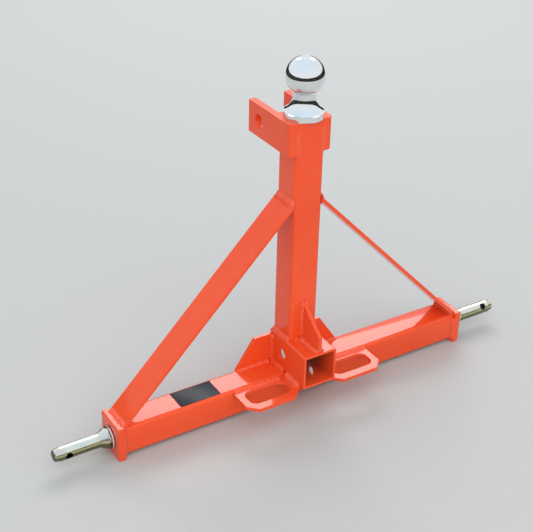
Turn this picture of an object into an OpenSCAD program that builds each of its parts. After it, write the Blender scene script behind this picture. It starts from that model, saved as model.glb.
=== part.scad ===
// Three-point hitch frame with a square receiver tube, a ball on its mast and two lower-link pins.
// Millimetres, +Z up, +X along the crossbar, -Y towards the towed side, +Y towards the tractor.
// The origin lies on the ground, under the middle of the overall depth and of the crossbar.

/* [Crossbar] */
// Length of the crossbar tube between its end plates
bar_len = 636; // [500:1:900]
// Outside width and height of the crossbar tube
bar_w = 50; // [48:0.5:54]
// Wall of the crossbar tube
bar_wall = 4; // [2.5:0.5:4.5]
// Outside corner radius of the crossbar tube
bar_corner = 6.5; // [3:0.5:7.5]

/* [End plates] */
// Width of an end plate, front to back
end_w = 60; // [54:0.5:80]
// Height of an end plate
end_h = 60; // [54:0.5:80]
// Thickness of an end plate
end_t = 12; // [8:0.5:20]

/* [Receiver] */
// Outside width and height of the receiver tube
rec_w = 60; // [58:0.5:70]
// Wall of the receiver tube
rec_wall = 4; // [3:0.5:6]
// Outside corner radius of the receiver tube
rec_corner = 4; // [2:0.5:5]
// How far the receiver mouth stands in front of the crossbar's axis
rec_front = 77; // [70:1:140]
// Hole for the hitch pin, clear of a 15.9 mm pin
hitch_pin_d = 16.8; // [13:0.1:20]
// Distance of the hitch-pin hole behind the receiver mouth
hitch_pin_setback = 65; // [40:1:80]

/* [Mast] */
// Outside width and depth of the mast tube
mast_w = 50; // [44:0.5:52]
// Wall of the mast tube
mast_wall = 4; // [3:0.5:5]
// Outside corner radius of the mast tube
mast_corner = 6.5; // [3:0.5:7.5]
// Height of the top of the cap plate above the ground
top_h = 490; // [420:1:600]
// Thickness of the cap plate
cap_t = 12; // [8:0.5:20]

/* [Top-link ears] */
// Length of an ear, front to back
ear_len = 116; // [100:1:160]
// Height of an ear
ear_h = 52; // [40:1:80]
// Thickness of an ear
ear_t = 12; // [8:0.5:16]
// Top-link pin hole, clear of a 19 mm pin
top_link_d = 20.6; // [16:0.1:26]
// Distance of the top-link hole from the ear's rear end
top_link_setback = 29; // [20:1:40]

/* [Braces] */
// Width of a brace, front to back
brace_w = 50; // [30:1:50]
// Thickness of a brace
brace_t = 6; // [4:0.5:10]
// Height at which a brace's upper face meets the mast
brace_top = 361; // [300:1:400]

/* [Gussets] */
// Thickness of the two side gussets
side_gusset_t = 6; // [4:0.5:8]
// Reach of a side gusset along the crossbar, from the receiver
side_gusset_foot = 68; // [45:1:100]
// Length of a side gusset's level top edge
side_gusset_top = 33; // [10:1:40]
// Height of a side gusset
side_gusset_h = 52; // [30:1:54]
// Thickness of the front gusset
front_gusset_t = 6; // [4:0.5:8]
// Height of the front gusset against the mast
front_gusset_h = 68; // [50:1:90]
// Height of the front gusset's blunt tip
front_gusset_tip = 27; // [10:1:40]
// Distance of that tip behind the receiver mouth
front_gusset_setback = 2; // [1:0.5:15]

/* [Chain plates] */
// Length of a chain plate along the crossbar
chain_plate_len = 98; // [92:1:140]
// How far a chain plate stands out from the crossbar
chain_plate_reach = 56; // [54:1:80]
// Thickness of a chain plate
chain_plate_t = 6; // [5:0.5:10]
// Depth of a chain plate's upper face below the crossbar's top
chain_plate_drop = 4; // [3:0.5:6]
// Leg of the cut corners at the front of a chain plate
chain_plate_cut = 16; // [5:0.5:18]
// Length of the chain slot
slot_len = 73; // [50:1:80]
// Width of the chain slot
slot_w = 34; // [20:1:36]
// Corner radius of the chain slot
slot_corner = 12; // [5:1:16]
// Metal left between the slot and the crossbar
slot_rim = 7; // [5:0.5:9]

/* [Lower-link pins] */
// Diameter of a lower-link pin
pin_d = 22.2; // [18:0.1:24]
// Reach of a pin beyond its end plate
pin_reach = 93.5; // [80:0.5:130]
// Length of the taper at the pin's tip
pin_taper = 10; // [4:0.5:11]
// Diameter of the tapered tip
pin_tip_d = 18.8; // [14:0.1:19]
// Chamfer at the very end of the pin
pin_chamfer = 1.5; // [0.5:0.5:3]
// Linchpin hole across the pin
linch_d = 12; // [8:0.1:12.5]
// Distance of the linchpin hole from the pin's tip
linch_setback = 22; // [12:0.5:24]
// Angle of the left linchpin hole above level, towards the front
linch_turn_left = -10; // [-90:1:90]
// Angle of the right linchpin hole above level, towards the front
linch_turn_right = 41; // [-90:1:90]
// Hexagon across flats of the pin's collar
collar_af = 32.5; // [28:0.5:36]
// Turn of the collar's hexagon about the pin, from a corner on top
collar_turn = 7; // [-30:1:30]
// Length of the collar
collar_len = 15.5; // [10:0.5:20]
// Diameter of the collar's cone at the lock washer
collar_cone_d = 38; // [36:0.5:42]
// Outside diameter of the lock washer
washer_d = 36.5; // [32:0.5:40]
// Thickness of the lock washer
washer_t = 5; // [3:0.5:6]
// Width of the split in the lock washer
washer_split = 2; // [1:0.5:4]
// Diameter of the stud that goes through the end plate
stud_d = 22; // [16:0.1:24]
// How far the stud stands out of its nut
stud_proud = 3; // [1:0.5:8]
// Hexagon across flats of the stud nut
stud_nut_af = 33.3; // [30:0.1:34]
// Height of the stud nut
stud_nut_h = 19; // [12:0.5:22]

/* [Hitch ball] */
// Diameter of the hitch ball
ball_d = 58.7; // [47:0.1:60.5]
// How far the ball's axis stands in front of the mast's axis
ball_forward = 2.5; // [0:0.5:2.5]
// Height of the ball's centre above the cap plate
ball_rise = 61.5; // [55:0.5:80]
// Diameter of the flat on top of the ball
ball_flat_d = 18; // [10:0.5:26]
// Diameter of the neck under the ball
neck_d = 34; // [28:0.5:38]
// Diameter of the ring that ends the neck, just under the ball
neck_ring_d = 36; // [35:0.5:40]
// Height of the flare between the neck and the flange
flare_h = 23; // [14:0.5:25]
// Level rim left outside the flare
flange_land = 0.75; // [0.5:0.25:3]
// Diameter of the flange
flange_d = 60.5; // [54:0.5:66]
// Thickness of the flange
flange_t = 9; // [5:0.5:12]
// Distance across the flange's two wrench flats
flange_af = 57; // [50:0.5:60]
// Turn of the wrench flats about the ball's axis
flange_turn = -23; // [-90:1:90]
// Diameter of the ball's shank
shank_d = 25.4; // [19:0.1:26]
// Height of the ring under the ball
neck_ring_h = 2.5; // [1:0.5:4]
// How far the shank stands out of its nut
shank_proud = 4; // [1:0.5:12]
// Side of the square ball nut
ball_nut_w = 36; // [34:0.5:37]
// Height of the square ball nut
ball_nut_h = 20; // [12:0.5:26]

/* [Fits and welds] */
// Radial clearance of a stud or shank in its hole
bolt_clear = 0.4; // [0.2:0.05:1]
// Radial clearance of a stud or shank in its nut
thread_clear = 0.15; // [0.1:0.05:0.3]
// Leg of an ordinary fillet weld
weld_leg = 4.5; // [3:0.5:5]
// Leg of the heavy welds under the receiver
heavy_leg = 8; // [6:0.5:9]
// Reach of the weld that runs down a brace from the mast
brace_leg = 9; // [5:0.5:12]

/* [Hidden] */
LEFT = -1;
RIGHT = 1;
PAINT = [0.89, 0.30, 0.16];
ZINC = [0.78, 0.77, 0.62];
WASHER = [0.76, 0.76, 0.75];
CHROME = [0.85, 0.86, 0.88];
STEEL = [0.55, 0.56, 0.58];
// Fineness of the round faces
$fn = 96;
// Little extra that lets a cutting tool pass right through
through = 1;

// Heights and stations of the crossbar
bar_half = bar_w / 2;
bar_z = end_h / 2;
bar_top = bar_z + bar_half;
bar_end = bar_len / 2;
plate_face = bar_end + end_t;
// Receiver on top of the crossbar, its rear end flush with the crossbar's rear face
rec_half = rec_w / 2;
rec_z = bar_top + rec_half;
rec_top = bar_top + rec_w;
hitch_pin_y = hitch_pin_setback - rec_front;
// Mast on top of the receiver, its rear face flush with the receiver's rear end
mast_half = mast_w / 2;
mast_y = bar_half - mast_half;
mast_front = mast_y - mast_half;
mast_back = mast_y + mast_half;
mast_top = top_h - cap_t;
ball_y = mast_y - ball_forward;
// Ears outside the mast, their front ends flush with its front face
ear_back = mast_front + ear_len;
ear_low = top_h - ear_h;
top_link_y = ear_back - top_link_setback;
top_link_z = top_h - ear_h / 2;
// Chain plates on the crossbar's front face, either side of the receiver
chain_plate_front = bar_half + chain_plate_reach;
chain_plate_top = bar_top - chain_plate_drop;
chain_plate_low = chain_plate_top - chain_plate_t;
chain_plate_x = rec_half + chain_plate_len / 2;
slot_y = -bar_half - slot_rim - slot_w / 2;
// Side gussets flush with the crossbar's rear face
side_gusset_y = bar_half - side_gusset_t;
// Front gusset
front_gusset_y = front_gusset_setback - rec_front;
front_gusset_half = front_gusset_t / 2;
// Lower-link pin, by distance from the end plate's outer face
stud_len = end_t + stud_nut_h + stud_proud;
linch_x = pin_reach - linch_setback;
taper_start = pin_reach - pin_taper;
// Brace line from the mast's side down to the end plate's inner top edge
brace_run = bar_end - mast_half;
brace_fall = brace_top - end_h;
brace_slant = sqrt(brace_run * brace_run + brace_fall * brace_fall);
brace_dir = [brace_run / brace_slant, -brace_fall / brace_slant];
brace_drop = brace_t * brace_slant / brace_run;
brace_out = [mast_half, brace_top];
brace_in = [mast_half, brace_top - brace_drop];
brace_foot_out = [bar_end, end_h];
brace_toe_x = mast_half + (brace_in[1] - bar_top) * brace_run / brace_fall;
brace_toe = [brace_toe_x, bar_top];
// Puts the origin under the middle of the overall depth
bar_y = (chain_plate_front - ear_back) / 2;

// Moves a piece drawn about the crossbar's axis into the part's own frame
module placed() {
    translate([0, bar_y, 0]) children();
}

// Draws a piece on one side of the frame; what it holds is drawn for the right side
module on_side(side) {
    placed() scale_side(side) children();
}

module scale_side(side) {
    if (side < 0) mirror([1, 0, 0]) children();
    else children();
}

// A profile in Y and Z, carried along X
module along_x(from, to) {
    translate([from, 0, 0]) rotate([90, 0, 90]) linear_extrude(height = to - from) children();
}

// A profile in X and Z, carried along Y
module along_y(from, to) {
    translate([0, to, 0]) rotate([90, 0, 0]) linear_extrude(height = to - from) children();
}

// A profile in X and Y, carried along Z
module along_z(from, to) {
    translate([0, 0, from]) linear_extrude(height = to - from) children();
}

// A square with round corners, centred
module round_square(w, corner) {
    square([w, w - 2 * corner], center = true);
    square([w - 2 * corner, w], center = true);
    for (sx = [-1, 1], sy = [-1, 1])
        translate([sx * (w / 2 - corner), sy * (w / 2 - corner)]) circle(r = corner);
}

// The section of a square tube
module tube_section(w, wall, corner) {
    difference() {
        round_square(w, corner);
        round_square(w - 2 * wall, max(corner - wall, 1));
    }
}

// The section of a fillet weld in the corner of two flat faces, slightly crowned
module fillet_section(leg) {
    crown = 0.6 * leg;
    polygon([[0, 0], [leg, 0], [crown, crown], [0, leg]]);
}

// The crossbar's outside, which the welds on its round corners are cut to
module bar_outside() {
    translate([0, bar_z]) round_square(bar_w, bar_corner);
}

// The receiver's outside, in X and Z
module receiver_outside() {
    translate([0, rec_z]) round_square(rec_w, rec_corner);
}

// The mast's outside, in X and Y
module mast_outside() {
    translate([0, mast_y]) round_square(mast_w, mast_corner);
}

module crossbar_tube() {
    color(PAINT) placed() along_x(-bar_end, bar_end)
        translate([0, bar_z]) tube_section(bar_w, bar_wall, bar_corner);
}

// Closes one end of the crossbar and carries the lower-link pin
module end_plate(side) {
    color(PAINT) on_side(side) difference() {
        translate([bar_end, -end_w / 2, 0]) cube([end_t, end_w, end_h]);
        translate([bar_end - through, 0, bar_z]) rotate([0, 90, 0])
            cylinder(d = stud_d + 2 * bolt_clear, h = end_t + 2 * through);
    }
}

module receiver_tube() {
    color(PAINT) placed() difference() {
        along_y(-rec_front, bar_half)
            translate([0, rec_z]) tube_section(rec_w, rec_wall, rec_corner);
        translate([-rec_half - through, hitch_pin_y, rec_z]) rotate([0, 90, 0])
            cylinder(d = hitch_pin_d, h = rec_w + 2 * through);
    }
}

module mast_tube() {
    color(PAINT) placed() along_z(rec_top, mast_top)
        translate([0, mast_y]) tube_section(mast_w, mast_wall, mast_corner);
}

// Closes the mast between the ears and carries the hitch ball
module mast_cap_plate() {
    color(PAINT) placed() difference() {
        translate([-mast_half, mast_front, mast_top]) cube([mast_w, mast_w, cap_t]);
        translate([0, ball_y, mast_top - through])
            cylinder(d = shank_d + 2 * bolt_clear, h = cap_t + 2 * through);
    }
}

// One of the two plates that hold the top-link pin
module ear(side) {
    color(PAINT) on_side(side) difference() {
        translate([mast_half, mast_front, ear_low]) cube([ear_t, ear_len, ear_h]);
        translate([mast_half - through, top_link_y, top_link_z]) rotate([0, 90, 0])
            cylinder(d = top_link_d, h = ear_t + 2 * through);
    }
}

// A flat bar cut to the mast's side, the crossbar's top and the end plate's inner face
module brace(side) {
    color(PAINT) on_side(side) along_y(mast_y - brace_w / 2, mast_y + brace_w / 2)
        polygon([brace_out, brace_in, brace_toe, [bar_end, bar_top], brace_foot_out]);
}

module side_gusset(side) {
    color(PAINT) on_side(side) along_y(side_gusset_y, bar_half)
        translate([rec_half, bar_top]) polygon([
            [0, 0], [side_gusset_foot, 0], [side_gusset_top, side_gusset_h], [0, side_gusset_h]
        ]);
}

// A three-cornered plate with a blunt tip, in line with the receiver
module front_gusset() {
    color(PAINT) placed() along_x(-front_gusset_half, front_gusset_half) polygon([
        [mast_front, rec_top], [mast_front, rec_top + front_gusset_h],
        [front_gusset_y, rec_top + front_gusset_tip], [front_gusset_y, rec_top]
    ]);
}

// A slotted plate for a safety chain
module chain_plate(side) {
    inner = rec_half;
    outer = rec_half + chain_plate_len;
    front = -chain_plate_front;
    slot_round = min(slot_corner, slot_w / 2 - 0.5);
    color(PAINT) on_side(side) along_z(chain_plate_low, chain_plate_top) difference() {
        polygon([
            [inner, -bar_half], [inner, front + chain_plate_cut], [inner + chain_plate_cut, front],
            [outer - chain_plate_cut, front], [outer, front + chain_plate_cut], [outer, -bar_half]
        ]);
        translate([chain_plate_x, slot_y]) offset(r = slot_round)
            square([slot_len - 2 * slot_round, slot_w - 2 * slot_round], center = true);
    }
}

// Drawn with its axis along +X from the end plate's outer face
module at_pin() {
    translate([plate_face, 0, bar_z]) rotate([0, 90, 0]) children();
}

// Stud, hexagon collar turned to a cone, plain shank and linchpin hole
module link_pin(side, turn) {
    color(ZINC) on_side(side) difference() {
        union() {
            at_pin() translate([0, 0, -stud_len]) cylinder(d = stud_d, h = stud_len + washer_t);
            at_pin() translate([0, 0, washer_t]) pin_collar();
            at_pin() translate([0, 0, washer_t]) cylinder(d = pin_d, h = taper_start - washer_t);
            at_pin() translate([0, 0, taper_start])
                cylinder(d1 = pin_d, d2 = pin_tip_d, h = pin_taper - pin_chamfer);
            at_pin() translate([0, 0, pin_reach - pin_chamfer])
                cylinder(d1 = pin_tip_d, d2 = pin_tip_d - 2 * pin_chamfer, h = pin_chamfer);
        }
        translate([plate_face + linch_x, 0, bar_z]) rotate([90 - turn, 0, 0])
            cylinder(d = linch_d, h = pin_d + 2 * through, center = true);
    }
}

module pin_collar() {
    rotate([0, 0, collar_turn]) intersection() {
        cylinder(d = collar_af / cos(30), h = collar_len, $fn = 6);
        cylinder(d1 = collar_cone_d, d2 = pin_d, h = collar_len);
    }
}

// A split spring washer, squeezed flat
module lock_washer(side) {
    color(WASHER) on_side(side) at_pin() difference() {
        cylinder(d = washer_d, h = washer_t);
        translate([0, 0, -through]) cylinder(d = stud_d + 2 * bolt_clear, h = washer_t + 2 * through);
        translate([-washer_d / 2, 0, washer_t / 2]) rotate([25, 0, 0])
            cube([washer_d, washer_split, 3 * washer_t], center = true);
    }
}

// Welded inside the closed end of the crossbar before the plate goes on
module stud_nut(side) {
    color(STEEL) on_side(side) at_pin() translate([0, 0, -end_t - stud_nut_h]) difference() {
        cylinder(d = stud_nut_af / cos(30), h = stud_nut_h, $fn = 6);
        translate([0, 0, -through])
            cylinder(d = stud_d + 2 * thread_clear, h = stud_nut_h + 2 * through);
    }
}

// Half section of the ball, its neck and its flange, about the ball's centre. The flare is an arc
// that leaves the neck upright and ends just inside the flange's rim.
module ball_section() {
    neck_r = neck_d / 2;
    flange_r = flange_d / 2;
    flange_top = flange_t - ball_rise;
    flat_z = sqrt(ball_d * ball_d - ball_flat_d * ball_flat_d) / 2;
    ring_z = -sqrt(ball_d * ball_d - neck_ring_d * neck_ring_d) / 2;
    flare_out = flange_r - flange_land - neck_r;
    flare_r = (flare_h * flare_h + flare_out * flare_out) / (2 * flare_out);
    intersection() {
        union() {
            intersection() {
                circle(d = ball_d);
                translate([0, -ball_d]) square([ball_d, ball_d + flat_z]);
            }
            translate([0, flange_top]) square([neck_r, -flange_top]);
            translate([0, -ball_rise]) square([flange_r, flange_t]);
            translate([0, ring_z - neck_ring_h]) square([neck_ring_d / 2, neck_ring_h + through]);
            difference() {
                translate([0, flange_top]) square([neck_r + flare_out, flare_h]);
                translate([neck_r + flare_r, flange_top + flare_h]) circle(r = flare_r);
            }
        }
        translate([0, -ball_rise]) square([flange_r, ball_rise + ball_d]);
    }
}

module hitch_ball() {
    shank_len = cap_t + ball_nut_h + shank_proud;
    flats_top = flange_t + flare_h / 2;
    color(CHROME) placed() translate([0, ball_y, top_h]) {
        intersection() {
            translate([0, 0, ball_rise]) rotate_extrude() ball_section();
            rotate([0, 0, flange_turn]) union() {
                translate([-flange_d, -flange_af / 2, 0]) cube([2 * flange_d, flange_af, flats_top]);
                translate([0, 0, flats_top]) cylinder(d = 2 * flange_d, h = ball_rise + ball_d);
            }
        }
        translate([0, 0, -shank_len]) cylinder(d = shank_d, h = shank_len);
    }
}

// A square nut that the mast's walls keep from turning
module ball_nut() {
    color(STEEL) placed() translate([0, ball_y, mast_top - ball_nut_h]) difference() {
        translate([-ball_nut_w / 2, -ball_nut_w / 2, 0]) cube([ball_nut_w, ball_nut_w, ball_nut_h]);
        translate([0, 0, -through])
            cylinder(d = shank_d + 2 * thread_clear, h = ball_nut_h + 2 * through);
    }
}

// Runs round the front, the bottom and the back of the crossbar, against the end plate
module end_welds(side) {
    leg = min(weld_leg, (end_w - bar_w) / 2, (end_h - bar_w) / 2);
    flat = bar_w - 2 * bar_corner;
    color(PAINT) on_side(side) translate([bar_end, 0, bar_z]) rotate([0, -90, 0]) {
        for (turn = [0, 180])
            rotate([0, 0, turn]) weld_edge(leg, flat);
        rotate([0, 0, 90]) weld_edge(leg, flat);
        for (turn = [90, 180])
            rotate([0, 0, turn]) weld_corner(leg);
    }
}

// A straight stretch of weld beside the tube's +Y side, looking along the tube
module weld_edge(leg, flat) {
    translate([-flat / 2, bar_half, 0]) rotate([90, 0, 90])
        linear_extrude(height = flat) fillet_section(leg);
}

// The quarter turn of weld round the tube's +X +Y corner
module weld_corner(leg) {
    translate([bar_half - bar_corner, bar_half - bar_corner, 0]) rotate_extrude(angle = 90)
        translate([bar_corner, 0]) fillet_section(leg);
}

// Over and under a brace at the mast, inside its toe and over its foot
module brace_welds(side) {
    leg = weld_leg;
    reach = brace_w / 2 - through;
    brace_up = [-brace_dir[1], brace_dir[0]];
    color(PAINT) on_side(side) along_y(mast_y - reach, mast_y + reach) {
        polygon([
            brace_out, brace_out + [0, leg], brace_out + 0.55 * brace_leg * brace_dir + 0.5 * leg * brace_up,
            brace_out + brace_leg * brace_dir
        ]);
        polygon([brace_in, brace_in - [0, leg], brace_in + leg * brace_dir]);
        polygon([brace_toe, brace_toe - [leg, 0], brace_toe - leg * brace_dir]);
        polygon([brace_foot_out, brace_foot_out + [leg, 0], brace_foot_out - leg * brace_dir]);
    }
}

// Along both sides of the mast's foot and across its front, either side of the front gusset
module mast_base_welds() {
    leg = weld_leg;
    ledge = rec_half - mast_half;
    color(PAINT) placed() {
        for (side = [LEFT, RIGHT]) scale_side(side) {
            along_y(mast_front + through, mast_back - through) difference() {
                translate([mast_half, rec_top]) polygon([
                    [0, -rec_corner], [0, ledge + 0.5], [0.6 * ledge, 0.75 * ledge],
                    [ledge, -0.1 * ledge], [ledge, 1.2 - rec_corner]
                ]);
                receiver_outside();
            }
            along_x(front_gusset_half + leg + 0.3, mast_half - mast_corner)
                translate([mast_front, rec_top]) mirror([1, 0]) fillet_section(leg);
        }
    }
}

// Beside the receiver's foot on the crossbar, and in front under the receiver
module receiver_seat_welds() {
    leg = weld_leg;
    color(PAINT) placed() {
        for (side = [LEFT, RIGHT]) scale_side(side)
            along_y(bar_corner - bar_half, side_gusset_y - leg - 1) difference() {
                translate([rec_half, bar_top]) polygon([
                    [-0.5 * rec_corner, 0], [leg, 0], [0.65 * leg, 0.65 * leg],
                    [0, leg + 1.5], [-0.5 * rec_corner, leg + 1.5]
                ]);
                receiver_outside();
            }
        along_x(rec_corner - rec_half, rec_half - rec_corner) difference() {
            translate([-bar_half, bar_top]) polygon([
                [-leg, 0], [0.7 * bar_corner, 0], [0.7 * bar_corner, -bar_corner],
                [0, -bar_corner - leg], [-0.6 * leg, -0.6 * leg]
            ]);
            bar_outside();
        }
    }
}

// Foot and upright of a side gusset, and the flush fill over the crossbar's rear corner
module gusset_welds(side) {
    leg = weld_leg;
    color(PAINT) on_side(side) {
        along_x(rec_half + leg + 2, rec_half + side_gusset_foot - 1)
            translate([side_gusset_y, bar_top]) mirror([1, 0]) fillet_section(leg);
        along_z(bar_top + leg + 2, bar_top + side_gusset_h - 1)
            translate([rec_half, side_gusset_y]) mirror([0, 1]) fillet_section(leg);
        along_x(rec_half, rec_half + side_gusset_foot) difference() {
            translate([bar_half, bar_top]) polygon([
                [-0.7 * bar_corner, 0], [0, 0], [0, -0.7 * bar_corner],
                [-0.7 * bar_corner, -0.7 * bar_corner]
            ]);
            bar_outside();
        }
    }
}

// Both sides of the front gusset, on the receiver and up the mast
module front_gusset_welds() {
    leg = weld_leg;
    rise = front_gusset_h - 1;
    color(PAINT) placed() for (side = [LEFT, RIGHT]) scale_side(side) {
        along_y(front_gusset_y + 0.5, mast_front)
            translate([front_gusset_half, rec_top]) fillet_section(leg);
        along_z(rec_top, rec_top + rise)
            translate([front_gusset_half, mast_front]) mirror([0, 1]) fillet_section(leg);
    }
}

// Above and below a chain plate at the crossbar, and a heavy one up to the receiver
module chain_plate_welds(side) {
    leg = min(weld_leg, slot_rim - 1);
    inner = rec_half;
    outer = rec_half + chain_plate_len;
    color(PAINT) on_side(side) {
        along_x(inner + heavy_leg + 0.3, outer - 1) {
            difference() {
                translate([-bar_half, chain_plate_top]) polygon([
                    [-leg, 0], [-0.6 * leg, 0.5 * leg], [0.3 * bar_corner, 0.65 * chain_plate_drop + 0.5],
                    [0.5 * bar_corner, 0]
                ]);
                bar_outside();
            }
            translate([-bar_half, chain_plate_low]) mirror([1, 0]) mirror([0, 1]) fillet_section(leg);
        }
        along_y(chain_plate_cut - chain_plate_front, -bar_half - 0.3) difference() {
            translate([inner, chain_plate_top]) polygon([
                [-0.5 * rec_corner, 0], [heavy_leg, 0], [0.65 * heavy_leg, 0.65 * heavy_leg],
                [0, chain_plate_drop + rec_corner + 2],
                [-0.5 * rec_corner, chain_plate_drop + rec_corner + 2]
            ]);
            receiver_outside();
        }
    }
}

// Under an ear at the mast's side, up the mast's rear corner inside the ear, and the flush fill of
// the mast's front corner
module ear_welds(side) {
    leg = weld_leg;
    flat = mast_half - mast_corner;
    color(PAINT) on_side(side) {
        along_z(ear_low, mast_top) difference() {
            translate([mast_half, mast_front]) polygon([
                [0, 0], [-0.9 * mast_corner, 0], [-0.7 * mast_corner, 0.7 * mast_corner],
                [0, 0.9 * mast_corner]
            ]);
            mast_outside();
        }
        along_y(mast_y - flat, mast_y + flat)
            translate([mast_half, ear_low]) mirror([0, 1]) fillet_section(leg);
        along_z(ear_low + 1, mast_top - 1) difference() {
            translate([mast_half, mast_back]) polygon([
                [0, -0.7 * mast_corner], [0, leg], [-0.5 * leg, 0.6 * leg], [-mast_corner - 2, 0],
                [-0.7 * mast_corner, -0.7 * mast_corner]
            ]);
            mast_outside();
        }
    }
}

crossbar_tube();
end_plate(LEFT);  // left_end_plate
end_plate(RIGHT);  // right_end_plate
receiver_tube();
mast_tube();
mast_cap_plate();
ear(LEFT);  // left_ear
ear(RIGHT);  // right_ear
brace(LEFT);  // left_brace
brace(RIGHT);  // right_brace
side_gusset(LEFT);  // left_gusset
side_gusset(RIGHT);  // right_gusset
front_gusset();
chain_plate(LEFT);  // left_chain_plate
chain_plate(RIGHT);  // right_chain_plate
link_pin(LEFT, linch_turn_left);  // left_link_pin
link_pin(RIGHT, linch_turn_right);  // right_link_pin
lock_washer(LEFT);  // left_lock_washer
lock_washer(RIGHT);  // right_lock_washer
stud_nut(LEFT);  // left_stud_nut
stud_nut(RIGHT);  // right_stud_nut
hitch_ball();
ball_nut();
end_welds(LEFT);  // left_end_welds
end_welds(RIGHT);  // right_end_welds
brace_welds(LEFT);  // left_brace_welds
brace_welds(RIGHT);  // right_brace_welds
mast_base_welds();
receiver_seat_welds();
gusset_welds(LEFT);  // left_gusset_welds
gusset_welds(RIGHT);  // right_gusset_welds
front_gusset_welds();
chain_plate_welds(LEFT);  // left_chain_plate_welds
chain_plate_welds(RIGHT);  // right_chain_plate_welds
ear_welds(LEFT);  // left_ear_welds
ear_welds(RIGHT);  // right_ear_welds
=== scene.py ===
"""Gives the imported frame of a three-point receiver hitch its paint, plating, weld beads and studio."""

import math

import bmesh
import bpy
import numpy as np
from bpy.props import FloatProperty, FloatVectorProperty, PointerProperty
from mathutils import Matrix, Vector


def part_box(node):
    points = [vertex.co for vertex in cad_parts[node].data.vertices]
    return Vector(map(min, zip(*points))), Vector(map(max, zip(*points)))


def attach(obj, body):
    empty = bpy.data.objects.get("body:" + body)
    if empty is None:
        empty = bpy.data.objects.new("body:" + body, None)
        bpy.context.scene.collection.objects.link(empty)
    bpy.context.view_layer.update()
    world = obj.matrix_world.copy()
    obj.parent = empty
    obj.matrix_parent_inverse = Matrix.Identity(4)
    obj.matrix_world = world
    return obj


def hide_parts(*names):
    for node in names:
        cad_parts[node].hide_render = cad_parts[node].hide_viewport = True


bl_info = {
    "name": "Receiver hitch dresser",
    "version": (1, 0, 0),
    "blender": (4, 5, 0),
    "location": "View3D > Sidebar > Hitch",
    "description": "Paints, plates and welds the frame of a three-point receiver hitch",
    "category": "Object",
}

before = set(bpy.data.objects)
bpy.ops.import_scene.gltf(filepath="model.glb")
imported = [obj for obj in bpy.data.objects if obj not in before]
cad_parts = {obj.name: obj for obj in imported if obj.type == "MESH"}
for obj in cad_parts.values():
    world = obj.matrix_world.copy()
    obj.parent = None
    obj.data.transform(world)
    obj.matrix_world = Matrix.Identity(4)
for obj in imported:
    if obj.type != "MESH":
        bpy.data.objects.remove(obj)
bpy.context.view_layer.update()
BODY = "root"
MM = 0.001
SIDES = {"left": -1.0, "right": 1.0}

# Lowest and highest corner of each CAD node, in metres
LOW = {name: np.array(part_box(name)[0]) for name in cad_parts}
HIGH = {name: np.array(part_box(name)[1]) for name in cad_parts}

# Stations that the weld beads follow, on the right side
BAR_FRONT, BAR_BACK = LOW["crossbar_tube"][1], HIGH["crossbar_tube"][1]
BAR_LOW, BAR_TOP = LOW["crossbar_tube"][2], HIGH["crossbar_tube"][2]
BAR_END = HIGH["crossbar_tube"][0]
REC_SIDE, REC_TOP = HIGH["receiver_tube"][0], HIGH["receiver_tube"][2]
REC_MOUTH, REC_MIDDLE = LOW["receiver_tube"][1], (LOW["receiver_tube"][2] + REC_TOP) / 2
MAST_SIDE = HIGH["mast_tube"][0]
MAST_FRONT, MAST_BACK = LOW["mast_tube"][1], HIGH["mast_tube"][1]
BRACE_TOP = HIGH["right_brace"][2]
PLATE_TOP = HIGH["right_end_plate"][2]
GUSSET_FRONT = LOW["right_gusset"][1]
GUSSET_TOP, GUSSET_FOOT = HIGH["right_gusset"][2], HIGH["right_gusset"][0]
NOSE_HALF, NOSE_FRONT, NOSE_TOP = HIGH["front_gusset"][0], LOW["front_gusset"][1], HIGH["front_gusset"][2]
CHAIN_FRONT, CHAIN_OUTER = LOW["right_chain_plate"][1], HIGH["right_chain_plate"][0]
CHAIN_LOW, CHAIN_TOP = LOW["right_chain_plate"][2], HIGH["right_chain_plate"][2]
EAR_LOW = LOW["right_ear"][2]
CAP_LOW = LOW["mast_cap_plate"][2]

# Outside corner radii of the three tubes, and the thickness of a brace
BAR_CORNER, REC_CORNER, MAST_CORNER = 6.5 * MM, 4 * MM, 6.5 * MM
BRACE_THICK = 6 * MM

# Plates that lie flush with a neighbour, whose shared edges get no rounding
FLUSH = {
    "mast_cap_plate": ("left_ear", "right_ear", "mast_tube"),
    "left_ear": ("mast_cap_plate", "mast_tube"),
    "right_ear": ("mast_cap_plate", "mast_tube"),
    "mast_tube": ("mast_cap_plate",),
    "left_gusset": ("crossbar_tube",),
    "right_gusset": ("crossbar_tube",),
}
# Tubes and plates that a painted copy with soft edges stands in for
PAINTED = (
    "crossbar_tube", "receiver_tube", "mast_tube", "mast_cap_plate", "front_gusset",
    "left_end_plate", "right_end_plate", "left_ear", "right_ear", "left_brace", "right_brace",
    "left_gusset", "right_gusset", "left_chain_plate", "right_chain_plate",
)

# The view of the photograph: where it stands, and its right, up and forward directions
CAMERA_PLACE = Vector((-0.8908, -1.3235, 1.1750))
CAMERA_RIGHT = Vector((0.85130494, -0.5242484, 0.02105991))
CAMERA_UP = Vector((0.25172521, 0.44332519, 0.86028902))
CAMERA_FORWARD = Vector((0.46034153, 0.72706698, -0.50937146))
CAMERA_LENS = 79.83

# How far off the dark ring stands that polished metal mirrors, and how high it is
FLAG_AWAY, FLAG_HIGH = 2.4, 0.8
# Where the lamps point
LAMP_AIM = Vector((0.0, 0.0, 0.2))

# Inside the receiver, painted shade: where along Y it begins and ends, where a wall's skin begins, and how
# much it darkens the paint
SHADE_FROM, SHADE_TO = REC_MOUTH - 4 * MM, REC_MOUTH + 62 * MM
WALL_FROM, WALL_TO = REC_SIDE - 3.5 * MM, REC_SIDE - 2.5 * MM
SHADE_SHARE = 0.92
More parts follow.
